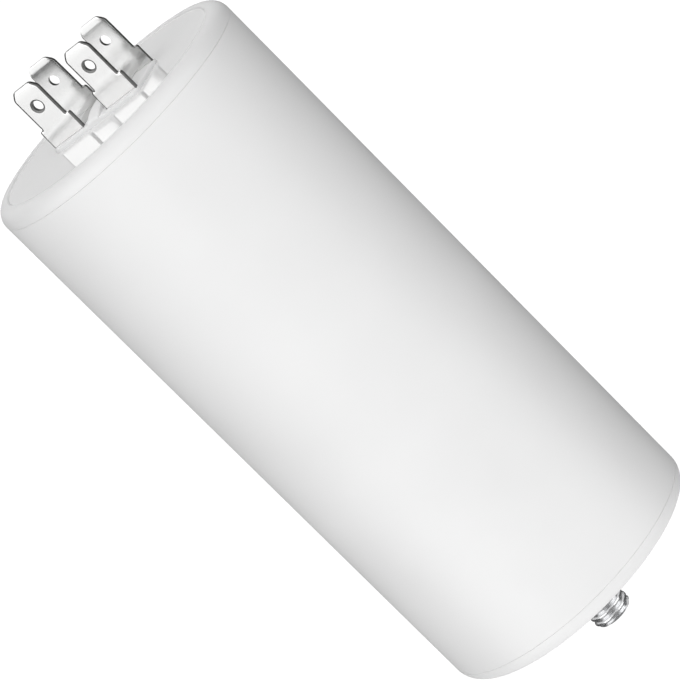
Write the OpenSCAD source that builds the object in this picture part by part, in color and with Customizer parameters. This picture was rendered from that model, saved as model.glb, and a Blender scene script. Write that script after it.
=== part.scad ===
// Motor-run capacitor: a round plastic can with a threaded mounting stud in its base
// and two double-blade push-on terminals in its lid.
// Millimetres. +Z runs up the can's axis and Z = 0 is the face that seats round the stud.
// +X runs along the width of the blades, +Y from the front blades to the back ones.

/* [Can] */
// Outer diameter of the can
can_d = 55; // [40:0.5:75]
// Length of the tube between its two seams
tube_l = 116.2; // [60:0.1:180]
// Wall of the tube round the plug of each cap
tube_wall = 1.8; // [1.2:0.1:3]
// Bevel on the edge at each side of a seam
seam_bevel = 0.2; // [0.1:0.05:0.4]

/* [Lid] */
// Height of the lid's rim above the upper seam
lid_h = 3; // [2:0.1:6]
// Rounding of the lid's outer edge
lid_round = 3; // [1:0.1:4]
// Flat land between the rounding and the recess
rim_land = 0.2; // [0.1:0.1:3]
// Depth of the round recess in the lid
recess_depth = 0.4; // [0.2:0.1:1]
// Slope of the recess's wall, as its width seen from above
recess_draft = 0.3; // [0.1:0.1:0.6]
// Depth of the lid's plug in the tube
lid_plug = 4; // [3:0.1:8]

/* [Terminal block] */
// Height of the block above the recess
block_h = 0.8; // [0.6:0.1:3]
// Margin of the block past the end of each terminal
block_side = 0.25; // [0.2:0.05:3]
// Margin of the block in front of the blades and behind them
block_front = 1.2; // [0.6:0.1:3]
// Rounding of the block's upright corners
block_corner = 1.8; // [0.4:0.1:2.4]
// Clear width of the block between the barrier rib and each terminal
rib_gap = 1.5; // [0.8:0.1:2]
// Height of the barrier rib's ends above the block
rib_end_h = 0.3; // [0.2:0.1:2]
// Rise of the rib's arched top from its ends to its middle
rib_rise = 0.9; // [0.4:0.1:2]

/* [Terminals] */
// Distance between the centres of the two terminals
terminal_pitch = 14.1; // [13:0.1:18]
// Distance between the two blades of one terminal
blade_pitch = 8.8; // [7:0.1:11]
// Width of a blade
blade_w = 6.3; // [4.8:0.1:6.3]
// Thickness of the terminal's sheet
blade_t = 0.8; // [0.5:0.05:1]
// Length of a blade from its shoulders to its tip
blade_l = 8.5; // [7:0.1:10]
// Width of a blade's base
base_w = 8; // [7:0.1:9]
// Height of the shoulders above the block
shoulder_h = 3.9; // [2:0.1:6]
// Rounding of the base's shoulders
shoulder_round = 0.5; // [0.2:0.1:0.7]
// Width of the cut at each corner of a blade's tip
tip_cut_w = 1.05; // [0.5:0.05:1.5]
// Length of the cut at each corner of a blade's tip
tip_cut_l = 1.4; // [0.6:0.1:2]
// Length of the lead-in bevel on both faces of a blade's tip
lead_in_l = 1.25; // [0.6:0.05:2]
// Thickness that the lead-in takes from each face
lead_in_t = 0.22; // [0.1:0.02:0.24]
// Diameter of a blade's detent hole
hole_d = 2.1; // [1.5:0.1:2.4]
// Distance from the detent hole's centre to the tip
hole_to_tip = 4.45; // [3.5:0.05:5]
// Countersink of the detent hole's edge
hole_sink = 0.2; // [0.1:0.05:0.3]
// Inside radius of the terminal's bends
bend_r = 0.8; // [0.4:0.1:1.5]
// Plastic between the block's top and the strip that joins two blades
strip_cover = 1.2; // [0.8:0.1:2]
// Width of the tag that leads down through the lid
tag_w = 4; // [2:0.1:6]

/* [Base] */
// Height of the base cap below the lower seam
base_h = 3.3; // [2:0.1:6]
// Rounding of the base cap's outer edge
base_round = 3.2; // [1:0.1:5]
// Diameter over the stud's thread
stud_d = 8; // [6:1:12]
// Length of the stud below the seat
stud_l = 11; // [8:0.5:25]
// Length of the bevel at the stud's tip
stud_tip = 0.7; // [0.4:0.1:1.5]
// Step from the thread down to the plain shank in the base
shank_step = 0.45; // [0.2:0.05:0.8]
// Width of the seat's countersink past the thread
seat_sink = 0.4; // [0.2:0.1:1]
// Depth of the seat's countersink
seat_sink_depth = 0.6; // [0.3:0.1:0.9]
// Width across the flats of the stud's moulded-in hexagon head
head_af = 13; // [10:1:19]
// Height of the stud's head
head_h = 5.3; // [4:0.1:8]
// Plastic below the head and above it
head_cover = 1.5; // [1:0.1:3]

/* [Fits] */
// Radial clearance between a cap's plug and the tube
plug_gap = 0.1; // [0.05:0.05:0.3]
// Clearance of the plastic moulded round a terminal or the stud
mould_gap = 0.05; // [0.02:0.01:0.1]

/* [Hidden] */
$fn = 128;
overcut = 1;

can_r = can_d / 2;
plug_socket_r = can_r - tube_wall;
plug_r = plug_socket_r - plug_gap;
seam_low = base_h;
seam_high = seam_low + tube_l;

recess_r = can_r - lid_round - rim_land;
floor_z = seam_high + lid_h - recess_depth;
block_z = floor_z + block_h;
block_l = terminal_pitch + base_w + 2 * block_side;
block_w = blade_pitch + blade_t + 2 * block_front;
rib_w = terminal_pitch - base_w - 2 * rib_gap;
rib_z = block_z + rib_end_h + rib_rise;
rib_arch_r = (pow(block_w / 2, 2) + pow(rib_rise, 2)) / (2 * rib_rise);

shoulder_z = block_z + shoulder_h;
tip_z = shoulder_z + blade_l;
hole_z = tip_z - hole_to_tip;
strip_z = block_z - strip_cover - blade_t;
bend_outer_r = bend_r + blade_t;
bend_top_z = strip_z + bend_outer_r;
tag_foot_z = seam_high - lid_plug;

stud_r = stud_d / 2;
shank_r = stud_r - shank_step;
head_z = head_cover;
base_plug_top = head_z + head_h + head_cover;
base_plug = base_plug_top - seam_low;

// What a rounding of radius r takes off a square corner. The corner points along quarter turn
// number quarter: 0 is +X +Y, 1 is -X +Y, 2 is -X -Y and 3 is +X -Y.
module corner_cut(r, quarter) {
    rotate(90 * quarter)
        difference() {
            square(r + overcut);
            circle(r);
        }
}

// Half section of a cap: a disc of the can's radius with its outer edge rounded at height h,
// and a bevel at the seam, Y = 0.
module cap_section(h, edge_r) {
    r = min(edge_r, h);
    difference() {
        square([can_r, h]);
        translate([can_r - r, h - r])
            corner_cut(r, 0);
        seam_cut();
    }
}

// Triangle taken off an outer edge at a seam, Y = 0.
module seam_cut() {
    polygon([
        [can_r - seam_bevel, 0],
        [can_r + seam_bevel, 0],
        [can_r + seam_bevel, 2 * seam_bevel]
    ]);
}

// Outline of the terminal block, seen from above.
module block_outline() {
    x = block_l / 2 - block_corner;
    y = block_w / 2 - block_corner;
    square([2 * x, block_w], center = true);
    square([block_l, 2 * y], center = true);
    for (sx = [-1, 1])
        for (sy = [-1, 1])
            translate([sx * x, sy * y])
                circle(block_corner);
}

// Arched rib across the block, between the two terminals.
module barrier_rib() {
    intersection() {
        translate([-rib_w / 2, -block_w / 2, floor_z])
            cube([rib_w, block_w, rib_z - floor_z]);
        translate([0, 0, rib_z - rib_arch_r])
            rotate([0, 90, 0])
                cylinder(r = rib_arch_r, h = rib_w + 2 * overcut, center = true);
    }
}

// Section of a channel in Y and Z: its floor at Z = 0, its lower corners rounded.
module channel_section(half_w, corner_r, h) {
    difference() {
        translate([-half_w, 0])
            square([2 * half_w, h]);
        translate([corner_r - half_w, corner_r])
            corner_cut(corner_r, 2);
        translate([half_w - corner_r, corner_r])
            corner_cut(corner_r, 3);
    }
}

// Strip bent up at both ends, as wide as a blade's base; gap grows it on every side but its seat.
module bent_strip(h, gap) {
    half = (blade_pitch + blade_t) / 2 + gap;
    inner = (blade_pitch - blade_t) / 2 - gap;
    rotate([90, 0, 90])
        translate([0, 0, -base_w / 2 - gap])
            linear_extrude(base_w + 2 * gap)
                difference() {
                    channel_section(half, bend_outer_r + gap, h);
                    translate([0, blade_t + gap])
                        channel_section(inner, bend_r - gap, h);
                }
}

// Tag bent down from the strip's outer edge; gap grows it on every side but its foot.
module lead_tag(gap) {
    translate([base_w / 2 - blade_t - gap, -tag_w / 2 - gap, tag_foot_z])
        cube([blade_t + 2 * gap, tag_w + 2 * gap, strip_z - tag_foot_z + blade_t / 2]);
}

// Front view of a blade with its base: X across, Y up.
module blade_outline() {
    half = blade_w / 2;
    half_base = base_w / 2;
    polygon([
        [-half, bend_top_z],
        [half, bend_top_z],
        [half, tip_z - tip_cut_l],
        [half - tip_cut_w, tip_z],
        [tip_cut_w - half, tip_z],
        [-half, tip_z - tip_cut_l]
    ]);
    difference() {
        translate([-half_base, bend_top_z])
            square([base_w, shoulder_z - bend_top_z]);
        translate([half_base - shoulder_round, shoulder_z - shoulder_round])
            corner_cut(shoulder_round, 0);
        translate([shoulder_round - half_base, shoulder_z - shoulder_round])
            corner_cut(shoulder_round, 1);
    }
}

// Edge view of a blade with its lead-in: X through the sheet, Y up.
module blade_edge() {
    half = blade_t / 2;
    polygon([
        [-half, bend_top_z],
        [half, bend_top_z],
        [half, tip_z - lead_in_l],
        [half - lead_in_t, tip_z],
        [lead_in_t - half, tip_z],
        [-half, tip_z - lead_in_l]
    ]);
}

// Detent hole through a blade, countersunk on both faces.
module detent_hole() {
    sunk_r = hole_d / 2 + hole_sink;
    translate([0, 0, hole_z])
        rotate([90, 0, 0]) {
            cylinder(d = hole_d, h = blade_t + 2 * overcut, center = true);
            for (s = [-1, 1])
                mirror([0, 0, s > 0 ? 0 : 1])
                    translate([0, 0, blade_t / 2 - hole_sink])
                        cylinder(r1 = hole_d / 2, r2 = sunk_r, h = hole_sink);
        }
}

// One blade, centred on the Z axis.
module blade() {
    difference() {
        intersection() {
            rotate([90, 0, 0])
                linear_extrude(2 * blade_t, center = true)
                    blade_outline();
            rotate([90, 0, 90])
                linear_extrude(2 * base_w, center = true)
                    blade_edge();
        }
        detent_hole();
    }
}

// Double-blade terminal, centred on the Z axis, with its tag on the +X side.
module terminal() {
    translate([0, 0, strip_z])
        bent_strip(bend_outer_r, 0);
    lead_tag(0);
    for (s = [-1, 1])
        translate([0, s * blade_pitch / 2, 0])
            blade();
}

// Space that the lid's moulding leaves round a terminal.
module terminal_pocket() {
    translate([0, 0, strip_z])
        bent_strip(block_z - strip_z + overcut, mould_gap);
    lead_tag(mould_gap);
}

// Places a terminal's geometry on the left, side = -1, or on the right, side = 1.
module on_side(side) {
    translate([side * terminal_pitch / 2, 0, 0])
        mirror([side > 0 ? 0 : 1, 0, 0])
            children();
}

// Tube with its sealed winding and resin, closed at both ends by a socket for a cap's plug.
module can_body() {
    color("whitesmoke")
        translate([0, 0, seam_low])
            difference() {
                rotate_extrude()
                    difference() {
                        square([can_r, tube_l]);
                        seam_cut();
                        translate([0, tube_l])
                            mirror([0, 1])
                                seam_cut();
                    }
                translate([0, 0, -overcut])
                    cylinder(r = plug_socket_r, h = base_plug + overcut);
                translate([0, 0, tube_l - lid_plug])
                    cylinder(r = plug_socket_r, h = lid_plug + overcut);
            }
}

// Lid with a rounded rim, a shallow recess, the terminal block and its barrier rib.
module terminal_lid() {
    color("white")
        difference() {
            union() {
                translate([0, 0, seam_high])
                    rotate_extrude()
                        difference() {
                            union() {
                                cap_section(lid_h, lid_round);
                                translate([0, -lid_plug])
                                    square([plug_r, lid_plug]);
                            }
                            polygon([
                                [0, lid_h - recess_depth],
                                [recess_r - recess_draft, lid_h - recess_depth],
                                [recess_r, lid_h],
                                [recess_r, lid_h + overcut],
                                [0, lid_h + overcut]
                            ]);
                        }
                translate([0, 0, floor_z])
                    linear_extrude(block_h)
                        block_outline();
                barrier_rib();
            }
            for (side = [-1, 1])
                on_side(side)
                    terminal_pocket();
        }
}

// Plain shank and hexagon head of the stud; gap grows them sideways.
module stud_shank(gap) {
    cylinder(r = shank_r + gap, h = head_z);
    translate([0, 0, head_z])
        cylinder(d = (head_af + 2 * gap) / cos(30), h = head_h, $fn = 6);
}

// Base cap with a rounded edge, moulded round the stud's head and countersunk round its thread.
module base_cap() {
    color("white")
        difference() {
            rotate_extrude() {
                translate([0, seam_low])
                    mirror([0, 1])
                        cap_section(base_h, base_round);
                translate([0, seam_low])
                    square([plug_r, base_plug]);
            }
            stud_shank(mould_gap);
            cylinder(r1 = stud_r + seat_sink, r2 = shank_r + mould_gap, h = seat_sink_depth);
        }
}

module terminal_left() {
    color("silver")
        on_side(-1)
            terminal();
}

module terminal_right() {
    color("silver")
        on_side(1)
            terminal();
}

// Stud with a bevelled tip, its thread at full diameter, and the head that holds it in the base.
module mounting_stud() {
    color("lightsteelblue") {
        translate([0, 0, -stud_l])
            cylinder(r1 = stud_r - stud_tip, r2 = stud_r, h = stud_tip);
        translate([0, 0, stud_tip - stud_l])
            cylinder(r = stud_r, h = stud_l - stud_tip);
        stud_shank(0);
    }
}

can_body();
terminal_lid();
base_cap();
terminal_left();
terminal_right();
mounting_stud();
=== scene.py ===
"""Looks of a stud-mounted motor-run capacitor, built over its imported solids.

Lengths are metres and +Z runs up the can's axis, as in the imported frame.
"""

import math
from types import SimpleNamespace

import bmesh
import bpy
from bpy.props import FloatProperty, FloatVectorProperty, IntProperty, PointerProperty
from bpy.types import Operator, Panel, PropertyGroup
from mathutils import Matrix, Vector


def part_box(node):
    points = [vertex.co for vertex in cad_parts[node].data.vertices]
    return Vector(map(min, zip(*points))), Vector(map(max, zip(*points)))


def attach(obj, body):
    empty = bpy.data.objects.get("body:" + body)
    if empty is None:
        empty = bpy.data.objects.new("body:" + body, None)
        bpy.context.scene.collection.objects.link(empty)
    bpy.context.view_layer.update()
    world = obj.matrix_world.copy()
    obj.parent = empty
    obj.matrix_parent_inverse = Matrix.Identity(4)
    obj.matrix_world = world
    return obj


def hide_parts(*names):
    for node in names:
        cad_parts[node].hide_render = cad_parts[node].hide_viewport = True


bl_info = {
    "name": "Motor-run capacitor",
    "version": (1, 0, 0),
    "blender": (4, 5, 0),
    "location": "3D View > Sidebar > Capacitor",
    "description": "Builds the looks of a stud-mounted capacitor over its packed solids",
    "category": "Object",
}

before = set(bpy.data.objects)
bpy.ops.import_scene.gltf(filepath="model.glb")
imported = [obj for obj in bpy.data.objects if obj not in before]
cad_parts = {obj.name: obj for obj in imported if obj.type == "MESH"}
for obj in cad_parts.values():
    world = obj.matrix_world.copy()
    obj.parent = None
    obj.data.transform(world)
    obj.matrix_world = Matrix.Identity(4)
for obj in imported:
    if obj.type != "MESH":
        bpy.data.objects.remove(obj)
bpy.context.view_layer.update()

MM = 0.001
BODY = "root"

CAN_LOW, CAN_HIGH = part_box("can_body")
LID_LOW, LID_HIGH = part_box("terminal_lid")
BASE_LOW, BASE_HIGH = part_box("base_cap")
LEFT_LOW, LEFT_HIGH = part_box("terminal_left")
RIGHT_LOW, RIGHT_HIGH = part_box("terminal_right")
STUD_LOW, STUD_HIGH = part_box("mounting_stud")

# Each terminal's name, its corners and the side of the can that it is on
TERMINALS = (("left", LEFT_LOW, LEFT_HIGH, -1), ("right", RIGHT_LOW, RIGHT_HIGH, 1))

# Steps of a full turn, of a full turn that is small or far off, of the rib's arch and of a bend
SPIN_STEPS = 192
COARSE_STEPS = 64
ARCH_STEPS = 24
BEND_STEPS = 8

# Length of a rounding for each segment, and the fewest and most segments in one
SEGMENT_LENGTH = 0.18 * MM
FEWEST_SEGMENTS = 3
MOST_SEGMENTS = 16

# Distance at which vertices are one, reach of a cutter past its work, and angle of a sharp edge
MERGE_DISTANCE = 2e-6
OVERCUT = 0.5 * MM
SHARP_ANGLE = math.radians(35)

# Slices of a blade from its shoulders to its lead-in, and the straight share and the curl of its bow
BOW_STEPS = 7
BOW_STRAIGHT = 0.3
BOW_CURL = 5

# Shares of a rolled edge's width and depth, from the edge inwards
ROLL_STEPS = ((0.55, 0.65), (0.45, 0.35))

# A face whose normal has less than this along Y is a cut edge of the sheet; steep facets of the rolled edges
# on the plated face fall under it too, and are painted dark as shade
CUT_EDGE = 0.9

# A face looks up where its normal has more than this many times as much along Z as along X
LOOKS_UP = 2

# Turns of the thread that start below the tip and are cut off
SPARE_TURNS = 2

# Range that most of a noise pattern lies in
NOISE_LOW = 0.3
NOISE_HIGH = 0.7

# Refractive index of the plastics, and how far the roughness of satin plastic strays
PLASTIC_INDEX = 1.5
SATIN_SWING = 0.03


def length(name, description, default):
    """A length property in metres."""
    return FloatProperty(name=name, description=description, default=default, unit="LENGTH", precision=5)


def angle(name, description, degrees):
    """An angle property."""
    return FloatProperty(name=name, description=description, default=math.radians(degrees), subtype="ANGLE")


def colour(name, description, default):
    """A colour property in linear light."""
    return FloatVectorProperty(
        name=name, description=description, default=default, size=3, min=0, max=1, subtype="COLOR"
    )


def share(name, description, default):
    """A property from 0 to 1."""
    return FloatProperty(name=name, description=description, default=default, min=0, max=1, subtype="FACTOR")


def radiance(name, description, default):
    """A brightness property, where 1 is the white of the floor."""
    return FloatProperty(name=name, description=description, default=default, min=0)


class CanSizes(PropertyGroup):
    """Sizes of the tube and the base cap."""

    radius: length("Can radius", "Outer radius of the can", CAN_HIGH.x)
    wall: length("Tube wall", "Wall of the tube round the plug of each cap", 1.8 * MM)
    plug_gap: length("Plug clearance", "Radial clearance of a cap's plug in the tube", 0.1 * MM)
    seam_round: length("Seam rounding", "Rounding of the edge at each side of a seam", 0.11 * MM)
    base_round: length("Base rounding", "Rounding of the base cap's outer edge", 3.1 * MM)
    seat_sink: length("Seat countersink", "Width of the seat's countersink past the thread", 0.4 * MM)
    sink_depth: length("Countersink depth", "Depth of the seat's countersink", 0.6 * MM)


class LidSizes(PropertyGroup):
    """Sizes of the lid, its terminal block and its barrier rib."""

    rim_height: length("Rim height", "Height of the rim above the upper seam", 3 * MM)
    rim_round: length("Rim rounding", "Rounding of the rim's outer edge", 2.8 * MM)
    recess_radius: length("Recess radius", "Radius of the recess at the rim", 24.3 * MM)
    recess_depth: length("Recess depth", "Depth of the recess below the rim", 0.4 * MM)
    recess_draft: length("Recess draft", "Slope of the recess's wall, seen from above", 0.3 * MM)
    recess_round: length("Recess rounding", "Rounding of the recess's upper and lower edge", 0.12 * MM)
    block_height: length("Block height", "Height of the block above the recess", 0.8 * MM)
    block_side: length("Block side margin", "Margin of the block past each terminal", 0.25 * MM)
    block_front: length("Block front margin", "Margin of the block before and behind the blades", 1.2 * MM)
    block_corner: length("Block corner", "Rounding of the block's upright corners", 1.8 * MM)
    block_edge: length("Block edge", "Rounding of the block's upper edge", 0.55 * MM)
    rib_gap: length("Rib gap", "Clear width between the rib and each terminal", 1.5 * MM)
    rib_end: length("Rib end height", "Height of the rib's ends above the block", 0.3 * MM)
    rib_edge: length("Rib edge", "Rounding of the rib's long edges", 0.4 * MM)
    slot_gap: length("Slot clearance", "Clearance of the block round a terminal", 0.02 * MM)


class TerminalSizes(PropertyGroup):
    """Sizes of the double-blade terminals."""

    sheet: length("Sheet thickness", "Thickness of the stamped sheet", 0.8 * MM)
    blade_width: length("Blade width", "Width of a blade", 6.3 * MM)
    blade_length: length("Blade length", "Length of a blade from its shoulders to its tip", 8.5 * MM)
    shoulder_round: length("Shoulder rounding", "Rounding of the base's shoulders", 0.5 * MM)
    shoulder_fillet: length("Shoulder fillet", "Fillet between a shoulder and the blade", 0.25 * MM)
    tip_cut_width: length("Tip cut width", "Width of the cut at each corner of the tip", 1.05 * MM)
    tip_cut_length: length("Tip cut length", "Length of the cut at each corner of the tip", 1.4 * MM)
    tip_round: length("Tip rounding", "Rounding of the corners of the tip's cuts", 0.4 * MM)
    lead_in_length: length("Lead-in length", "Length of the bevel on both faces of the tip", 0.85 * MM)
    lead_in_depth: length("Lead-in depth", "Thickness that the lead-in takes from each face", 0.16 * MM)
    hole_radius: length("Hole radius", "Radius of the detent hole", 1.05 * MM)
    hole_roll_width: length("Hole roll width", "Width of a hole's rolled edge at the outer face", 0.36 * MM)
    hole_roll_depth: length("Hole roll depth", "Depth of a hole's rolled edge at the outer face", 0.2 * MM)
    hole_to_tip: length("Hole to tip", "Distance from the detent hole's centre to the tip", 4.45 * MM)
    bend_radius: length("Bend radius", "Inside radius of the two bends", 0.8 * MM)
    strip_cover: length("Strip cover", "Plastic between the block's top and the strip", 1.2 * MM)
    tag_width: length("Tag width", "Width of the tag that leads into the can", 4 * MM)
    edge_round: length("Edge rounding", "Rounding of the sheet's edges", 0.05 * MM)
    roll_width: length("Edge roll width", "Width of the rolled edge round a blade's outer face", 0.48 * MM)
    roll_depth: length("Edge roll depth", "Depth of the rolled edge round a blade's outer face", 0.2 * MM)
    left_bow: length("Left bow", "Forward bow of the left back blade's tip", 0.26 * MM)
    right_bow: length("Right bow", "Forward bow of the right back blade's tip", 0.18 * MM)
    bridge_width: length("Bridge width", "Width of the bridge between a terminal's blades", 3.4 * MM)
    bridge_rise: length("Bridge rise", "Height of the bridge above the block", 0.08 * MM)
    bridge_sheet: length("Bridge thickness", "Thickness of the bridge", 0.4 * MM)


class StudSizes(PropertyGroup):
    """Sizes of the mounting stud and its thread."""

    thread_radius: length("Thread radius", "Radius over the thread's crests", 4 * MM)
    pitch: length("Pitch", "Distance from one turn of the thread to the next", 1.25 * MM)
    depth: length("Thread depth", "Depth of the thread from crest to root", 0.5 * MM)
    crest_flat: length("Crest flat", "Width of the thread's crest", 0.42 * MM)
    root_flat: length("Root flat", "Width of the thread's root", 0.15 * MM)
    crest_above_tip: length("Thread phase", "Height of the first crest above the tip, on +X", 0.3 * MM)
    tip_bevel: length("Tip bevel", "Length of the bevel at the tip", 0.7 * MM)
    tip_edge: length("Tip edge", "Rounding of the edge round the tip's flat end", 0.08 * MM)
    shank_step: length("Shank step", "Step from the thread down to the plain shank", 0.45 * MM)
    head_flats: length("Head width", "Width across the flats of the moulded-in head", 13 * MM)
    head_cover: length("Head cover", "Plastic below the head and above it", 1.5 * MM)
    turn_steps: IntProperty(name="Steps", description="Steps in one turn of the thread", default=72, min=12)


class Finishes(PropertyGroup):
    """Colours and gloss of the finishes."""

    tube_white: colour("Tube white", "Colour of the extruded tube", (0.83, 0.83, 0.83))
    lid_white: colour("Lid white", "Colour of the moulded caps", (0.83, 0.83, 0.83))
    # Painted light: the block is the lid's own plastic, given a lighter white to lift its shaded faces and
    # pockets
    painted_light_block_white: colour("Block white", "Colour of the terminal block", (0.9, 0.9, 0.9))
    tin: colour("Tin", "Colour of the tin plating", (0.8, 0.8, 0.795))
    # Dark dull finish of the bare cut edges, also painted on the steep rolled edges of the plated face as
    # shade
    shear: colour("Sheared edge", "Colour of the sheet's cut edges", (0.21, 0.21, 0.207))
    zinc: colour("Zinc", "Colour of the zinc plating", (0.75, 0.755, 0.765))
    satin: share("Satin roughness", "Roughness of the tube, the base and the lid's rim", 0.42)
    gloss: share("Gloss roughness", "Roughness of the lid's recess", 0.07)
    block: share("Block roughness", "Roughness of the terminal block", 0.6)
    bridge: share("Bridge roughness", "Roughness of the bridge between a terminal's blades", 0.6)


class StageSettings(PropertyGroup):
    """Camera, floor and studio light."""

    lens: FloatProperty(name="Lens", description="Focal length", default=242.78, subtype="DISTANCE_CAMERA")
    distance: length("Distance", "Distance of the camera from its aim", 0.82225)
    aim_height: length("Aim height", "Height of the camera's aim on the can's axis", 0.06224)
    aim_shift: length("Aim shift", "Shift of the aim to the camera's right", -0.00016)
    azimuth: angle("Azimuth", "Turn of the camera round the can from the front", 36.72)
    elevation: angle("Elevation", "Height of the camera above the horizon", 14.344)
    roll: angle("Roll", "Turn of the camera about its own axis", -45.095)
    floor_gap: length("Floor gap", "Gap between the stud's tip and the floor", 0.05 * MM)
    floor_radius: length("Floor radius", "Radius of the flat floor and its curved rim", 2.5)
    surround: share("Surround", "Brightness of the room round the softboxes", 0.1)
    wall_light: radiance("Wall light", "Brightness of the diffusing wall in front", 0.685)
    left_fill: radiance("Left fill", "Brightness of the fill light on the left", 0.52)
    right_key: radiance("Right key", "Brightness of the soft light on the right", 0.32)
    back_fill: radiance("Back fill", "Brightness of the strip light behind the can", 5.0)
    top_light: radiance("Top light", "Brightness of the diffuser overhead", 1.55)
    table_light: radiance("Table light", "Brightness that the table throws back", 0.56)
    seat_light: radiance("Seat light", "Brightness of the table right below the can", 0.15)
    panel_light: radiance("Panel light", "Brightness of the side panels that bright metal mirrors", 1.12)
    high_light: radiance("High light", "Brightness that the left panel gains above the blades", 0.46)
    backdrop_light: radiance("Backdrop light", "Brightness of the backdrop that the lid mirrors", 0.58)
    card_light: radiance("Card light", "Brightness of the cards that the stud mirrors", 1.7)


class CapacitorSettings(PropertyGroup):
    """All settings of the capacitor."""

    can: PointerProperty(type=CanSizes)
    lid: PointerProperty(type=LidSizes)
    terminal: PointerProperty(type=TerminalSizes)
    stud: PointerProperty(type=StudSizes)
    finish: PointerProperty(type=Finishes)
    stage: PointerProperty(type=StageSettings)


def settings(context):
    """The capacitor's settings, which hang on the scene."""
    return context.scene.capacitor


# Mesh helpers


def whole(bm):
    """All vertices, edges and faces of a mesh."""
    return bm.verts[:] + bm.edges[:] + bm.faces[:]


def vertices_of(parts):
    """The vertices among the parts that an operator gives back."""
    return [part for part in parts if isinstance(part, bmesh.types.BMVert)]


def sharp_edges(bm):
    """Edges where two faces meet at more than the angle of a sharp edge."""
    return [edge for edge in bm.edges if edge.is_manifold and edge.calc_face_angle() > SHARP_ANGLE]


def close_up(bm):
    """Merges doubled vertices and turns the faces outwards."""
    bmesh.ops.remove_doubles(bm, verts=bm.verts[:], dist=MERGE_DISTANCE)
    bmesh.ops.recalc_face_normals(bm, faces=bm.faces[:])
    return bm


def round_parts(bm, parts, radius, affect):
    """Rounds vertices or edges of a mesh."""
    bmesh.ops.bevel(
        bm,
        geom=parts,
        offset=radius,
        offset_type="OFFSET",
        affect=affect,
        segments=max(FEWEST_SEGMENTS, min(MOST_SEGMENTS, round(radius / SEGMENT_LENGTH))),
        profile=0.5,
        material=-1,
    )


def round_corners(bm, verts, corners):
    """Rounds each vertex by the last value of its corner."""
    for vert, (_, _, rounding) in zip(verts, corners):
        if rounding:
            round_parts(bm, [vert], rounding, "VERTICES")


def add_section(bm, corners, base=0):
    """Adds a half section. Each corner is a radius, a height above the base and a rounding."""
    verts = [bm.verts.new((radius, 0, base + height)) for radius, height, _ in corners]
    for first, second in zip(verts, verts[1:]):
        bm.edges.new((first, second))
    round_corners(bm, verts, corners)


def revolve(corners, steps=SPIN_STEPS):
    """Spins a half section round the Z axis."""
    bm = bmesh.new()
    add_section(bm, corners)
    bmesh.ops.spin(
        bm,
        geom=bm.verts[:] + bm.edges[:],
        cent=(0, 0, 0),
        axis=(0, 0, 1),
        angle=math.tau,
        steps=steps,
        use_merge=True,
    )
    return close_up(bm)


def add_box(bm, low, high):
    """Adds a box between two corners."""
    low, high = Vector(low), Vector(high)
    place = Matrix.Translation((low + high) / 2) @ Matrix.Diagonal((*(high - low), 1))
    bmesh.ops.create_cube(bm, size=1, matrix=place)


def add_hexagon(bm, flats, low, high):
    """Adds an upright hexagon on the Z axis, with a corner on +X."""
    base = bmesh.ops.create_circle(
        bm, cap_ends=True, radius=flats / math.sqrt(3), segments=6, matrix=Matrix.Translation((0, 0, low))
    )
    face = base["verts"][0].link_faces[0]
    top = bmesh.ops.extrude_face_region(bm, geom=[face])["geom"]
    bmesh.ops.translate(bm, verts=vertices_of(top), vec=(0, 0, high - low))
    bmesh.ops.recalc_face_normals(bm, faces=bm.faces[:])


def add_object(name, data):
    """Adds an object to the scene."""
    added = bpy.data.objects.new(name, data)
    bpy.context.scene.collection.objects.link(added)
    return added


def mesh_object(name, bm):
    """Adds an object with a finished mesh to the scene."""
    mesh = bpy.data.meshes.new(name)
    bm.to_mesh(mesh)
    bm.free()
    return add_object(name, mesh)


def combine(bm, tool, operation, overlapping=False):
    """Joins two closed shells, cuts one by the other or keeps what they share."""
    shell, cutter = mesh_object("shell", bm), mesh_object("cutter", tool)
    modifier = shell.modifiers.new("Combine", "BOOLEAN")
    modifier.operation = operation
    modifier.solver = "EXACT"
    modifier.use_self = overlapping
    modifier.object = cutter
    result = bmesh.new()
    result.from_object(shell, bpy.context.evaluated_depsgraph_get())
    for used in (shell, cutter):
        mesh = used.data
        bpy.data.objects.remove(used)
        bpy.data.meshes.remove(mesh)
    bmesh.ops.remove_doubles(result, verts=result.verts[:], dist=MERGE_DISTANCE)
    bmesh.ops.dissolve_degenerate(result, edges=result.edges[:], dist=MERGE_DISTANCE)
    if not result.faces or any(not edge.is_manifold for edge in result.edges):
        raise RuntimeError(f"the boolean {operation.lower()} left an open or empty shell")
    return result


def add_piece(name, bm, finishes, node):
    """Makes a piece that rides on the part's body and stands for one solid."""
    piece = mesh_object(name, bm)
    piece.data.shade_smooth()
    piece.data.set_sharp_from_angle(angle=SHARP_ANGLE)
    for finish in finishes:
        piece.data.materials.append(finish)
    weighted = piece.modifiers.new("Weighted normals", "WEIGHTED_NORMAL")
    weighted.keep_sharp = True
    weighted.weight = 100
    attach(piece, BODY)
    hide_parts(node)
    return piece


def crease_level(mesh, level):
    """Marks the edges at one height as sharp."""
    for edge in mesh.edges:
        if all(abs(mesh.vertices[index].co.z - level) < MERGE_DISTANCE for index in edge.vertices):
            edge.use_edge_sharp = True


# Shader helpers


def new_finish(name):
    """A new material and its shader."""
    finish = bpy.data.materials.new(name)
    finish.use_nodes = True
    return finish, finish.node_tree.nodes["Principled BSDF"]


def fill_sockets(finish, node, sockets):
    """Sets or links a node's inputs, by name or number."""
    for key, value in sockets.items():
        if isinstance(value, bpy.types.NodeSocket):
            finish.node_tree.links.new(value, node.inputs[key])
        else:
            node.inputs[key].default_value = value


def add_node(finish, kind, sockets, **options):
    """Adds a node. A socket's value is a constant, or an output to link to it."""
    node = finish.node_tree.nodes.new(kind)
    for name, value in options.items():
        setattr(node, name, value)
    fill_sockets(finish, node, sockets)
    return node


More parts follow.
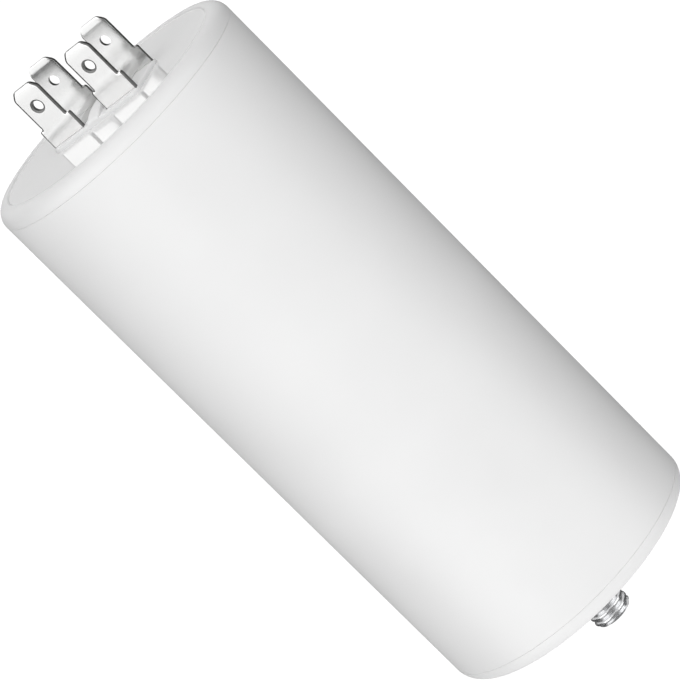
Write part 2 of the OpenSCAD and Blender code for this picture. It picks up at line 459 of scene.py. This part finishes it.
def object_coordinates(finish, scale=(1, 1, 1)):
    """Object coordinates, stretched by a scale."""
    source = add_node(finish, "ShaderNodeTexCoord", {}).outputs["Object"]
    mapping = add_node(finish, "ShaderNodeMapping", {"Vector": source, "Scale": scale})
    return mapping.outputs["Vector"]


def noise(finish, coordinates, scale, detail):
    """A noise pattern with this many waves a metre."""
    sockets = {"Vector": coordinates, "Scale": scale, "Detail": detail}
    return add_node(finish, "ShaderNodeTexNoise", sockets).outputs["Fac"]


def spread(finish, value, low, high, bottom=NOISE_LOW, top=NOISE_HIGH):
    """Maps a pattern from bottom and top to low and high."""
    sockets = {"Value": value, "From Min": bottom, "From Max": top, "To Min": low, "To Max": high}
    return add_node(finish, "ShaderNodeMapRange", sockets).outputs["Result"]


def tint(finish, pattern, shade, low, high):
    """A colour whose brightness runs from low to high times a shade, along a pattern."""
    ramp = add_node(finish, "ShaderNodeValToRGB", {"Fac": pattern})
    first, last = ramp.color_ramp.elements
    first.position, last.position = NOISE_LOW, NOISE_HIGH
    first.color = (*[channel * low for channel in shade], 1)
    last.color = (*[min(1, channel * high) for channel in shade], 1)
    return ramp.outputs["Color"]


def bump(finish, pattern, depth, strength):
    """A bump of this depth along a pattern."""
    sockets = {"Height": pattern, "Distance": depth, "Strength": strength}
    return add_node(finish, "ShaderNodeBump", sockets).outputs["Normal"]


def maths(finish, operation, first, second):
    """The result of one operation on two values."""
    return add_node(finish, "ShaderNodeMath", {0: first, 1: second}, operation=operation).outputs["Value"]


def distance_from_axis(finish):
    """Distance from the can's axis."""
    flat = object_coordinates(finish, (1, 1, 0))
    return add_node(finish, "ShaderNodeVectorMath", {0: flat}, operation="LENGTH").outputs["Value"]


def height_above(finish, level):
    """Height above a level."""
    place = object_coordinates(finish)
    up = add_node(finish, "ShaderNodeSeparateXYZ", {"Vector": place}).outputs["Z"]
    return maths(finish, "SUBTRACT", up, level)


# Finishes


def satin_plastic(name, shade, roughness):
    """Satin white plastic with a fine moulded grain."""
    finish, shader = new_finish(name)
    place = object_coordinates(finish)
    cloud = noise(finish, place, scale=45, detail=2)
    grain = noise(finish, place, scale=5200, detail=3)
    fill_sockets(finish, shader, {
        "Base Color": tint(finish, cloud, shade, low=0.985, high=1.01),
        "Roughness": spread(finish, cloud, low=roughness - SATIN_SWING, high=roughness + SATIN_SWING),
        "Normal": bump(finish, grain, depth=0.02 * MM, strength=0.12),
        "IOR": PLASTIC_INDEX,
    })
    return finish


def lid_plastic(name, looks, sizes):
    """White plastic with a polished recess and a satin rim."""
    finish, shader = new_finish(name)
    place = object_coordinates(finish)
    cloud = noise(finish, place, scale=60, detail=2)
    grain = noise(finish, place, scale=4000, detail=2)
    wall_foot = sizes.recess_radius - sizes.recess_draft
    outward = distance_from_axis(finish)
    fill_sockets(finish, shader, {
        "Base Color": tint(finish, cloud, looks.lid_white, low=0.985, high=1.01),
        "Roughness": spread(finish, outward, looks.gloss, looks.satin, wall_foot, sizes.recess_radius),
        "Normal": bump(finish, grain, depth=0.01 * MM, strength=0.04),
        "IOR": PLASTIC_INDEX,
    })
    return finish


def tin_plating(name, looks, bridge_top):
    """Bright tin plating over a rolled sheet, with faint lines along the blades and a dull bridge."""
    finish, shader = new_finish(name)
    rolled = noise(finish, object_coordinates(finish, (1, 1, 0.06)), scale=9000, detail=3)
    cloud = noise(finish, object_coordinates(finish), scale=420, detail=3)
    bright = spread(finish, cloud, low=0.13, high=0.18)
    above = height_above(finish, bridge_top)
    dull = spread(finish, above, low=looks.bridge, high=0, bottom=0.01 * MM, top=0.12 * MM)
    fill_sockets(finish, shader, {
        "Base Color": tint(finish, cloud, looks.tin, low=0.95, high=1.03),
        "Metallic": 1.0,
        "Roughness": maths(finish, "MAXIMUM", bright, dull),
        "Normal": bump(finish, rolled, depth=0.006 * MM, strength=0.35),
    })
    return finish


def sheared_edge_and_painted_shade(name, shade):
    """Dull cut edge of the sheet, with streaks across its thickness; it also serves as painted shade on the
    steep rolled edges of the plated face.
    """
    finish, shader = new_finish(name)
    streak = noise(finish, object_coordinates(finish, (1, 0.1, 1)), scale=6000, detail=2)
    fill_sockets(finish, shader, {
        "Base Color": tint(finish, streak, shade, low=0.8, high=1.2),
        "Metallic": 1.0,
        "Roughness": spread(finish, streak, low=0.38, high=0.5),
    })
    return finish


def zinc_plating(name, shade, root_radius, crest_radius):
    """Bright zinc plating, with painted shade darkening the roots of the thread."""
    finish, shader = new_finish(name)
    cloud = noise(finish, object_coordinates(finish), scale=900, detail=3)
    # Painted shade: the base colour darkens from the crests down into the roots
    crest = spread(finish, distance_from_axis(finish), 0, 1, root_radius, crest_radius)
    fill_sockets(finish, shader, {
        "Base Color": tint(finish, crest, shade, low=0.9, high=1.0),
        "Metallic": 1.0,
        "Roughness": spread(finish, cloud, low=0.16, high=0.28),
    })
    return finish


def studio_white(name):
    """White of the lit floor."""
    finish, shader = new_finish(name)
    fill_sockets(finish, shader, {
        "Base Color": (0.1, 0.1, 0.1, 1),
        "Roughness": 1.0,
        "Emission Color": (1, 1, 1, 1),
        "Emission Strength": 1.0,
    })
    return finish


# Shapes of the can


def tube_shell(sizes):
    """The tube and its sealed filling, with a socket at each end."""
    socket = sizes.radius - sizes.wall
    return revolve([
        (0, BASE_HIGH.z, 0),
        (socket, BASE_HIGH.z, 0),
        (socket, CAN_LOW.z, 0),
        (sizes.radius, CAN_LOW.z, sizes.seam_round),
        (sizes.radius, CAN_HIGH.z, sizes.seam_round),
        (socket, CAN_HIGH.z, 0),
        (socket, LID_LOW.z, 0),
        (0, LID_LOW.z, 0),
    ])


def base_shell(sizes, stud):
    """The base cap, with room for the stud's shank and head."""
    plug = sizes.radius - sizes.wall - sizes.plug_gap
    cap = revolve([
        (0, BASE_LOW.z, 0),
        (sizes.radius, BASE_LOW.z, sizes.base_round),
        (sizes.radius, CAN_LOW.z, sizes.seam_round),
        (plug, CAN_LOW.z, 0),
        (plug, BASE_HIGH.z, 0),
        (0, BASE_HIGH.z, 0),
    ])
    shank = stud.thread_radius - stud.shank_step
    slope = (stud.thread_radius + sizes.seat_sink - shank) / sizes.sink_depth
    mouth = shank + slope * (sizes.sink_depth + OVERCUT)
    room = revolve([
        (0, -OVERCUT, 0),
        (mouth, -OVERCUT, 0),
        (shank, sizes.sink_depth, 0),
        (shank, stud.head_cover + OVERCUT, 0),
        (0, stud.head_cover + OVERCUT, 0),
    ])
    add_hexagon(room, stud.head_flats, stud.head_cover, STUD_HIGH.z)
    return combine(cap, room, "DIFFERENCE", overlapping=True)


# Shapes of the lid


def recess_floor(sizes):
    """Height of the recess in the lid."""
    return CAN_HIGH.z + sizes.rim_height - sizes.recess_depth


def block_box(sizes):
    """Half length and half width of the terminal block."""
    return RIGHT_HIGH.x + sizes.block_side, RIGHT_HIGH.y + sizes.block_front


def block_shell(sizes, floor):
    """The terminal block, sunk a little into the recess."""
    half_x, half_y = block_box(sizes)
    top = floor + sizes.block_height
    bm = bmesh.new()
    add_box(bm, (-half_x, -half_y, floor - OVERCUT), (half_x, half_y, top))
    upright = [edge for edge in bm.edges if edge.verts[0].co.xy == edge.verts[1].co.xy]
    round_parts(bm, upright, sizes.block_corner, "EDGES")
    rim = [edge for edge in sharp_edges(bm) if all(vert.co.z > floor for vert in edge.verts)]
    round_parts(bm, rim, sizes.block_edge, "EDGES")
    return bm


def rib_shell(sizes, floor):
    """The arched barrier rib across the block."""
    _, half_y = block_box(sizes)
    half_x = RIGHT_LOW.x - sizes.rib_gap
    end = floor + sizes.block_height + sizes.rib_end
    rise = LID_HIGH.z - end
    arch = (half_y**2 + rise**2) / (2 * rise)
    bm = bmesh.new()
    first = bm.verts.new((-half_x, half_y, end))
    bmesh.ops.spin(
        bm,
        geom=[first],
        cent=(-half_x, 0, LID_HIGH.z - arch),
        axis=(1, 0, 0),
        angle=2 * math.asin(half_y / arch),
        steps=ARCH_STEPS,
    )
    for y in (-half_y, half_y):
        bm.verts.new((-half_x, y, floor - OVERCUT))
    outline = sorted(bm.verts, key=lambda vert: math.atan2(vert.co.y, vert.co.z - floor))
    side = bm.faces.new(outline)
    far_side = bmesh.ops.extrude_face_region(bm, geom=[side])["geom"]
    bmesh.ops.translate(bm, verts=vertices_of(far_side), vec=(2 * half_x, 0, 0))
    close_up(bm)
    lowest = end - MERGE_DISTANCE
    crest = [edge for edge in sharp_edges(bm) if all(vert.co.z > lowest for vert in edge.verts)]
    round_parts(bm, crest, sizes.rib_edge, "EDGES")
    return bm


def terminal_room(sizes, gap, block_top):
    """The space that the lid leaves round both terminals."""
    bm = bmesh.new()
    for _, low, high, side in TERMINALS:
        at = terminal_places(sizes, low, high, block_top)
        left, right = low.x - gap, high.x + gap
        bottom, top = at.strip_low, block_top + OVERCUT
        for near in (low.y, high.y - sizes.sheet):
            add_box(bm, (left, near - gap, bottom), (right, near + sizes.sheet + gap, top))
        add_box(bm, (left, low.y - gap, bottom), (right, high.y + gap, bottom + sizes.sheet + gap))
        centre = Vector((at.centre, 0, 0))
        for corners in (
            bridge_box(sizes, at, side, gap),
            tag_box(sizes, at, side, LID_LOW.z - OVERCUT, gap),
        ):
            add_box(bm, *(Vector(corner) + centre for corner in corners))
    return bm


def lid_shell(can, sizes, terminal):
    """The lid: a rounded rim, a shallow recess, the terminal block and its rib."""
    plug = can.radius - can.wall - can.plug_gap
    rim = CAN_HIGH.z + sizes.rim_height
    floor = recess_floor(sizes)
    lid = revolve([
        (0, LID_LOW.z, 0),
        (plug, LID_LOW.z, 0),
        (plug, CAN_HIGH.z, 0),
        (can.radius, CAN_HIGH.z, can.seam_round),
        (can.radius, rim, sizes.rim_round),
        (sizes.recess_radius, rim, sizes.recess_round),
        (sizes.recess_radius - sizes.recess_draft, floor, sizes.recess_round),
        (0, floor, 0),
    ])
    lid = combine(lid, block_shell(sizes, floor), "UNION")
    lid = combine(lid, rib_shell(sizes, floor), "UNION")
    room = terminal_room(terminal, sizes.slot_gap, floor + sizes.block_height)
    lid = combine(lid, room, "DIFFERENCE", overlapping=True)
    # Faces of the block and rib take the second material, whose lighter white is painted light on the lid's
    # own plastic
    reach = sizes.recess_radius - can.wall
    for face in lid.faces:
        middle = face.calc_center_median()
        if middle.z > floor + MERGE_DISTANCE and middle.xy.length < reach:
            face.material_index = 1
    return lid


# Shapes of the terminals


def terminal_places(sizes, low, high, block_top):
    """Places on a terminal whose blades are centred on X = 0, and the X of its real centre."""
    strip_low = block_top - sizes.strip_cover - sizes.sheet
    return SimpleNamespace(
        centre=(low.x + high.x) / 2,
        half_base=(high.x - low.x) / 2,
        front=low.y,
        middle=low.y + sizes.sheet / 2,
        foot=low.z,
        strip_low=strip_low,
        bend_top=strip_low + sizes.sheet + sizes.bend_radius,
        block_top=block_top,
        shoulder=high.z - sizes.blade_length,
        hole=high.z - sizes.hole_to_tip,
        lead_in=high.z - sizes.lead_in_length,
        tip=high.z,
    )


def blade_outline(sizes, at):
    """Corners of a blade with its base, in X and Z, and the rounding of each."""
    half_blade = sizes.blade_width / 2
    right = [
        (at.half_base, at.bend_top, 0),
        (at.half_base, at.shoulder, sizes.shoulder_round),
        (half_blade, at.shoulder, sizes.shoulder_fillet),
        (half_blade, at.tip - sizes.tip_cut_length, sizes.tip_round),
        (half_blade - sizes.tip_cut_width, at.tip, sizes.tip_round),
    ]
    return right + [(-x, z, rounding) for x, z, rounding in reversed(right)]


def blade_shell(sizes, at):
    """The front blade and its base, its outer edge rolled and its tip bevelled on both faces."""
    corners = blade_outline(sizes, at)
    bm = bmesh.new()
    verts = [bm.verts.new((x, at.front + sizes.roll_depth, z)) for x, z, _ in corners]
    bm.faces.new(verts)
    round_corners(bm, verts, corners)
    for step in range(1, BOW_STEPS + 1):
        level = at.shoulder + (at.lead_in - at.shoulder) * step / BOW_STEPS
        bmesh.ops.bisect_plane(bm, geom=whole(bm), plane_co=(0, 0, level), plane_no=(0, 0, 1))
    outer_face = bm.faces[:]
    bm.normal_update()
    for width, depth in ROLL_STEPS:
        bmesh.ops.inset_region(
            bm,
            faces=outer_face,
            use_boundary=True,
            use_even_offset=True,
            thickness=width * sizes.roll_width,
            depth=depth * sizes.roll_depth,
        )
    inner_face = bmesh.ops.extrude_face_region(bm, geom=bm.faces[:])["geom"]
    for vert in vertices_of(inner_face):
        vert.co.y = at.front + sizes.sheet
    for vert in bm.verts:
        if vert.co.z > at.lead_in:
            taper = sizes.lead_in_depth * (vert.co.z - at.lead_in) / sizes.lead_in_length
            vert.co.y -= math.copysign(taper, vert.co.y - at.middle)
    bmesh.ops.recalc_face_normals(bm, faces=bm.faces[:])
    return bm


def bend_strip(bm, sizes, at):
    """Bends the sheet at a blade's foot and runs it to the middle plane, where it stays open."""
    foot = min(bm.faces, key=lambda face: face.calc_center_median().z)
    bent = bmesh.ops.spin(
        bm,
        geom=[foot, *foot.edges, *foot.verts],
        cent=(0, at.front + sizes.sheet + sizes.bend_radius, at.bend_top),
        axis=(1, 0, 0),
        angle=math.radians(90),
        steps=BEND_STEPS,
    )["geom_last"]
    end = next(part for part in bent if isinstance(part, bmesh.types.BMFace))
    strip = bmesh.ops.extrude_discrete_faces(bm, faces=[end])["faces"]
    for vert in strip[0].verts:
        vert.co.y = 0
    bmesh.ops.delete(bm, geom=strip, context="FACES_ONLY")
    bmesh.ops.recalc_face_normals(bm, faces=bm.faces[:])


def lean(bow, part):
    """Forward lean of a back blade at a part of its length, which curls most at the tip."""
    return bow * (BOW_STRAIGHT * part + (1 - BOW_STRAIGHT) * part**BOW_CURL)


def double_blade(sizes, at, bow):
    """Both blades and the strip that joins them, with the back blade bowed forwards."""
    bm = blade_shell(sizes, at)
    bend_strip(bm, sizes, at)
    round_parts(bm, sharp_edges(bm), sizes.edge_round, "EDGES")
    bmesh.ops.mirror(bm, geom=whole(bm), matrix=Matrix.Identity(4), merge_dist=MERGE_DISTANCE, axis="Y")
    close_up(bm)
    for vert in bm.verts:
        if vert.co.y > 0 and vert.co.z > at.shoulder:
            vert.co.y -= lean(bow, (vert.co.z - at.shoulder) / sizes.blade_length)
    return bm


def hole_tool(sizes, middle_y, hole_z, outward):
    """Cutter of one detent hole, whose edge is rolled in at the blade's outer face."""
    half = sizes.sheet / 2
    slope = sizes.hole_roll_width / sizes.hole_roll_depth
    mouth = sizes.hole_radius + slope * (sizes.hole_roll_depth + OVERCUT)
    bm = revolve([
        (0, -half - OVERCUT, 0),
        (sizes.hole_radius, -half - OVERCUT, 0),
        (sizes.hole_radius, half - sizes.hole_roll_depth, 0),
        (mouth, half + OVERCUT, 0),
        (0, half + OVERCUT, 0),
    ], COARSE_STEPS)
    turn = Matrix.Rotation(math.radians(90) * outward, 4, "X")
    place = Matrix.Translation((0, middle_y, hole_z)) @ turn
    bmesh.ops.transform(bm, matrix=place, verts=bm.verts[:])
    return bm


def tag_box(sizes, at, side, bottom, gap=0):
    """Low and high corner of the tag that leads into the can, grown sideways by a gap."""
    outer = side * at.half_base
    inner = outer - side * sizes.sheet
    half_tag = sizes.tag_width / 2 + gap
    top = at.strip_low + sizes.sheet / 2
    return (min(outer, inner) - gap, -half_tag, bottom), (max(outer, inner) + gap, half_tag, top)


def bridge_box(sizes, at, side, gap=0):
    """Low and high corner of the bridge between a terminal's blades, grown by a gap."""
    inner = -side * (at.half_base - sizes.sheet / 4)
    far = inner + side * sizes.bridge_width
    reach = abs(at.middle)
    top = at.block_top + sizes.bridge_rise
    low = (min(inner, far) - gap, -reach, top - sizes.bridge_sheet - gap)
    return low, (max(inner, far) + gap, reach, top + gap)


def mark_cut_edges_and_painted_shade(bm, sizes, at):
    """Gives the sheet's cut edges the second finish, apart from the shoulders and the tip's roll. The steep
    facets of the rolled side edges and the rolled rim of each hole on the plated face take it too, as
    painted shade.
    """
    ring = sizes.hole_radius + sizes.hole_roll_width
    lowest = at.block_top + sizes.sheet / 4
    for face in bm.faces:
        height = face.calc_center_median().z
        in_hole = abs(height - at.hole) < ring
        faces_up = face.normal.z > LOOKS_UP * abs(face.normal.x)
        tip_end = height > at.lead_in and face.normal.z > CUT_EDGE
        # Faces steep to the sheet's face: the cut edges, and the steep rolled edges of the plated face,
        # painted dark as shade
        cut = abs(face.normal.y) < CUT_EDGE and (in_hole or tip_end or not faces_up)
        if cut and height > lowest:
            face.material_index = 1


def terminal_shell(sizes, at, side, bow):
    """A terminal bent from one sheet, with detent holes, a tag and a bridge between its blades."""
    bm = double_blade(sizes, at, bow)
    bowed = -at.middle - lean(bow, (at.hole - at.shoulder) / sizes.blade_length)
    for y, outward in ((at.middle, 1), (bowed, -1)):
        bm = combine(bm, hole_tool(sizes, y, at.hole, outward), "DIFFERENCE")
    for corners in (tag_box(sizes, at, side, at.foot), bridge_box(sizes, at, side)):
        box = bmesh.new()
        add_box(box, *corners)
        bm = combine(bm, box, "UNION")
    mark_cut_edges_and_painted_shade(bm, sizes, at)
    bmesh.ops.translate(bm, verts=bm.verts[:], vec=(at.centre, 0, 0))
    return bm


# Shapes of the stud


def thread_shell(sizes, low, high):
    """A right-hand thread as one closed shell that starts below one height and ends at the other."""
    root, crest = sizes.thread_radius - sizes.depth, sizes.thread_radius
    root_round, crest_round = sizes.root_flat / 3, sizes.crest_flat / 3
    rise_start = sizes.root_flat / 2
    rise_end = rise_start + (sizes.pitch - sizes.crest_flat - sizes.root_flat) / 2
    start = low + sizes.crest_above_tip - (SPARE_TURNS + 0.5) * sizes.pitch
    turns = math.ceil((high - start) / sizes.pitch) + 1
    bm = bmesh.new()
    add_section(bm, [
        (root, 0, 0),
        (root, rise_start, root_round),
        (crest, rise_end, crest_round),
        (crest, rise_end + sizes.crest_flat, crest_round),
        (root, sizes.pitch - rise_start, root_round),
        (root, sizes.pitch, 0),
    ], start)
    bmesh.ops.spin(
        bm,
        geom=bm.verts[:] + bm.edges[:],
        cent=(0, 0, 0),
        axis=(0, 0, 1),
        dvec=(0, 0, sizes.pitch / sizes.turn_steps),
        angle=math.tau * turns,
        steps=sizes.turn_steps * turns,
    )
    bmesh.ops.remove_doubles(bm, verts=bm.verts[:], dist=MERGE_DISTANCE)
    bmesh.ops.bisect_plane(
        bm,
        geom=whole(bm),
        dist=MERGE_DISTANCE,
        plane_co=(0, 0, high),
        plane_no=(0, 0, 1),
        clear_outer=True,
    )
    rims = [edge for edge in bm.edges if edge.is_boundary]
    caps = bmesh.ops.holes_fill(bm, edges=rims, sides=0)["faces"]
    bmesh.ops.poke(bm, faces=caps)
    bmesh.ops.recalc_face_normals(bm, faces=bm.faces[:])
    return bm


def stud_shell(sizes):
    """The stud: a bevelled, threaded end, a plain shank and a hexagon head."""
    low = STUD_LOW.z
    shank = sizes.thread_radius - sizes.shank_step
    core = sizes.thread_radius - sizes.depth - sizes.root_flat
    neck = revolve([
        (0, -sizes.shank_step, 0),
        (core, -sizes.shank_step, 0),
        (shank, sizes.root_flat / 2, 0),
        (shank, sizes.head_cover + OVERCUT, 0),
        (0, sizes.head_cover + OVERCUT, 0),
    ])
    head = bmesh.new()
    add_hexagon(head, sizes.head_flats, sizes.head_cover, STUD_HIGH.z)
    blank = combine(thread_shell(sizes, low, 0), combine(neck, head, "UNION"), "UNION")
    tip = sizes.thread_radius - sizes.tip_bevel
    wide = sizes.head_flats
    envelope = revolve([
        (0, low, 0),
        (tip, low, sizes.tip_edge),
        (wide, low + wide - tip, 0),
        (wide, STUD_HIGH.z + OVERCUT, 0),
        (0, STUD_HIGH.z + OVERCUT, 0),
    ])
    return combine(blank, envelope, "INTERSECT")


# Floor, light and camera


def aim(azimuth, elevation, target, distance, roll=0):
    """Place of a camera or light that looks at a target."""
    turn = Matrix.Rotation(azimuth, 4, "Z")
    tilt = Matrix.Rotation(math.radians(90) - elevation, 4, "X")
    back = Matrix.Translation((0, 0, distance))
    return turn @ Matrix.Translation(target) @ tilt @ back @ Matrix.Rotation(roll, 4, "Z")


def add_floor(stage):
    """A white floor with a curved rim, which only the camera sees."""
    level, radius = STUD_LOW.z - stage.floor_gap, stage.floor_radius
    sweep = mesh_object("floor", revolve([
        (0, level, 0),
        (radius, level, radius / 3),
        (radius, radius, 0),
    ], COARSE_STEPS))
    sweep.data.shade_smooth()
    sweep.data.materials.append(studio_white("studio_white"))
    sweep.visible_diffuse = False
    sweep.visible_glossy = False
    sweep.visible_shadow = False


def add_softbox(name, place, size, brightness, seen_by):
    """A softbox that the camera doesn't see, and that lights plain surfaces, mirroring ones or all."""
    light = bpy.data.lights.new(name, "AREA")
    light.shape = "RECTANGLE"
    light.size, light.size_y = size
    light.energy = brightness * math.pi * light.size * light.size_y
    box = add_object(name, light)
    box.matrix_world = place
    box.visible_camera = False
    box.visible_diffuse = seen_by != "gloss"
    box.visible_glossy = seen_by != "diffuse"


def add_softboxes(stage):
    """Softboxes for the plastic, and panels and cards for the lid and the metal to mirror."""
    can, stud = (CAN_LOW.z + CAN_HIGH.z) / 2, STUD_LOW.z / 2
    far, near = 0.7, 0.15
    card = stage.card_light
    # Degrees round from the camera and above the horizon, distance, aimed height, size, brightness, use
    for name, side, tilt, distance, height, size, brightness, seen_by in (
        ("front_wall", -13.5, 0, far, can, (5, 5), stage.wall_light, "diffuse"),
        ("left_fill", -122, 0, far, -0.2, (0.57, 0.7), stage.left_fill, "diffuse"),
        ("right_key", 16, 0, far, 0.05, (0.4, 0.7), stage.right_key, "diffuse"),
        ("back_fill", 180, 0, 0.8, -0.16, (0.17, 0.6), stage.back_fill, "diffuse"),
        ("top_diffuser", 0, 89, far, can, (0.8, 0.8), stage.top_light, "diffuse"),
        ("table", 0, -90, 0.4, can, (3, 3), stage.table_light, "diffuse"),
        ("seat_table", 0, -90, 0.5, can, (0.9, 0.9), stage.seat_light, "all"),
        ("left_panel", -53.5, 0, far, 0.467, (1.15, 1.0), stage.panel_light, "gloss"),
        ("high_panel", -53.5, 0, 0.75, 0.57, (1.15, 0.8), stage.high_light, "gloss"),
        ("right_panel", 45.5, 0, far, 0.45, (0.93, 1.04), stage.panel_light, "gloss"),
        ("backdrop", 180, 0, far, 0.565, (0.98, 0.8), stage.backdrop_light, "gloss"),
        ("left_card", -55, -14, near, stud, (0.125, 0.1), card, "gloss"),
        ("middle_card", -2, -14, near, stud, (0.125, 0.1), 0.16 * card, "gloss"),
        ("right_card", 51, -14, near, stud, (0.125, 0.1), card, "gloss"),
        ("back_card", 180, -47, near, stud, (0.125, 0.03), 0.6 * card, "gloss"),
    ):
        azimuth = stage.azimuth + math.radians(side)
        place = aim(azimuth, math.radians(tilt), (0, 0, height), distance)
        add_softbox(name, place, size, brightness, seen_by)


def add_room(stage):
    """A dim white room round the softboxes."""
    room = bpy.data.worlds.new("studio")
    room.use_nodes = True
    background = room.node_tree.nodes["Background"]
    background.inputs["Color"].default_value = (1, 1, 1, 1)
    background.inputs["Strength"].default_value = stage.surround
    bpy.context.scene.world = room


def add_camera(stage):
    """The camera at the photograph's angle."""
    camera = add_object("camera", bpy.data.cameras.new("camera"))
    camera.data.lens = stage.lens
    target = (stage.aim_shift, 0, stage.aim_height)
    camera.matrix_world = aim(stage.azimuth, stage.elevation, target, stage.distance, stage.roll)
    bpy.context.scene.camera = camera


# Operators


class CAPACITOR_OT_can_body(Operator):
    """Build the tube between the two seams"""

    bl_idname = "capacitor.can_body"
    bl_label = "Can body"

    def execute(self, context):
        own = settings(context)
        white = satin_plastic("satin_tube_plastic", own.finish.tube_white, own.finish.satin)
        add_piece("tube", tube_shell(own.can), [white], "can_body")
        return {"FINISHED"}


class CAPACITOR_OT_terminal_lid(Operator):
    """Build the lid with its recess, terminal block and barrier rib"""

    bl_idname = "capacitor.terminal_lid"
    bl_label = "Terminal lid"

    def execute(self, context):
        own = settings(context)
        white = lid_plastic("polished_lid_plastic", own.finish, own.lid)
        # The block's material is the lid's plastic with a lighter white as painted light, and its own
        # rougher finish
        block = satin_plastic("matt_block_plastic_painted_light", own.finish.painted_light_block_white, own.finish.block)
        shell = lid_shell(own.can, own.lid, own.terminal)
        add_piece("lid", shell, [white, block], "terminal_lid")
        return {"FINISHED"}


class CAPACITOR_OT_base_cap(Operator):
    """Build the base cap with its rounded edge and flat seat"""

    bl_idname = "capacitor.base_cap"
    bl_label = "Base cap"

    def execute(self, context):
        own = settings(context)
        white = satin_plastic("satin_base_plastic", own.finish.lid_white, own.finish.satin)
        add_piece("base", base_shell(own.can, own.stud), [white], "base_cap")
        return {"FINISHED"}


class CAPACITOR_OT_terminals(Operator):
    """Bend both double-blade terminals"""

    bl_idname = "capacitor.terminals"
    bl_label = "Terminals"

    def execute(self, context):
        own = settings(context)
        sizes = own.terminal
        block_top = recess_floor(own.lid) + own.lid.block_height
        tin = tin_plating("bright_tin_plating", own.finish, block_top + sizes.bridge_rise)
        # The second finish covers the bare cut edges and, as painted shade, the steep rolled edges of the
        # plated face
        shear = sheared_edge_and_painted_shade("sheared_edge_and_painted_edge_shade", own.finish.shear)
        bows = {"left": sizes.left_bow, "right": sizes.right_bow}
        for name, low, high, side in TERMINALS:
            at = terminal_places(sizes, low, high, block_top)
            shell = terminal_shell(sizes, at, side, bows[name])
            blades = add_piece(f"blades_{name}", shell, [tin, shear], f"terminal_{name}")
            crease_level(blades.data, at.lead_in)
        return {"FINISHED"}


class CAPACITOR_OT_mounting_stud(Operator):
    """Roll the stud's thread"""

    bl_idname = "capacitor.mounting_stud"
    bl_label = "Mounting stud"

    def execute(self, context):
        own = settings(context)
        sizes = own.stud
        root = sizes.thread_radius - sizes.depth
        zinc = zinc_plating("bright_zinc_plating_painted_root_shade", own.finish.zinc, root, sizes.thread_radius)
        add_piece("threaded_stud", stud_shell(sizes), [zinc], "mounting_stud")
        return {"FINISHED"}


class CAPACITOR_OT_stage(Operator):
    """Set up the floor, the studio light and the camera"""

    bl_idname = "capacitor.stage"
    bl_label = "Stage"

    def execute(self, context):
        stage = settings(context).stage
        add_floor(stage)
        add_softboxes(stage)
        add_room(stage)
        add_camera(stage)
        context.scene.view_settings.view_transform = "Standard"
        return {"FINISHED"}


class CAPACITOR_PT_looks(Panel):
    """Lists the capacitor's pieces and settings"""

    bl_idname = "CAPACITOR_PT_looks"
    bl_label = "Capacitor"
    bl_space_type = "VIEW_3D"
    bl_region_type = "UI"
    bl_category = "Capacitor"

    def draw(self, context):
        layout = self.layout
        own = settings(context)
        for operator in OPERATORS:
            layout.operator(operator.bl_idname)
        for group in (own.can, own.lid, own.terminal, own.stud, own.finish, own.stage):
            box = layout.box()
            for name in group.__annotations__:
                box.prop(group, name)


OPERATORS = (
    CAPACITOR_OT_can_body,
    CAPACITOR_OT_terminal_lid,
    CAPACITOR_OT_base_cap,
    CAPACITOR_OT_terminals,
    CAPACITOR_OT_mounting_stud,
    CAPACITOR_OT_stage,
)
CLASSES = (
    CanSizes,
    LidSizes,
    TerminalSizes,
    StudSizes,
    Finishes,
    StageSettings,
    CapacitorSettings,
    *OPERATORS,
    CAPACITOR_PT_looks,
)


def register():
    """Registers the classes and hangs the settings on the scene."""
    for cls in CLASSES:
        bpy.utils.register_class(cls)
    bpy.types.Scene.capacitor = PointerProperty(type=CapacitorSettings)


def unregister():
    """Takes the settings and the classes away again."""
    del bpy.types.Scene.capacitor
    for cls in reversed(CLASSES):
        bpy.utils.unregister_class(cls)


def main():
    """Builds every piece and the stage."""
    register()
    bpy.ops.capacitor.can_body()
    bpy.ops.capacitor.terminal_lid()
    bpy.ops.capacitor.base_cap()
    bpy.ops.capacitor.terminals()
    bpy.ops.capacitor.mounting_stud()
    bpy.ops.capacitor.stage()


if __name__ == "__main__":
    main()
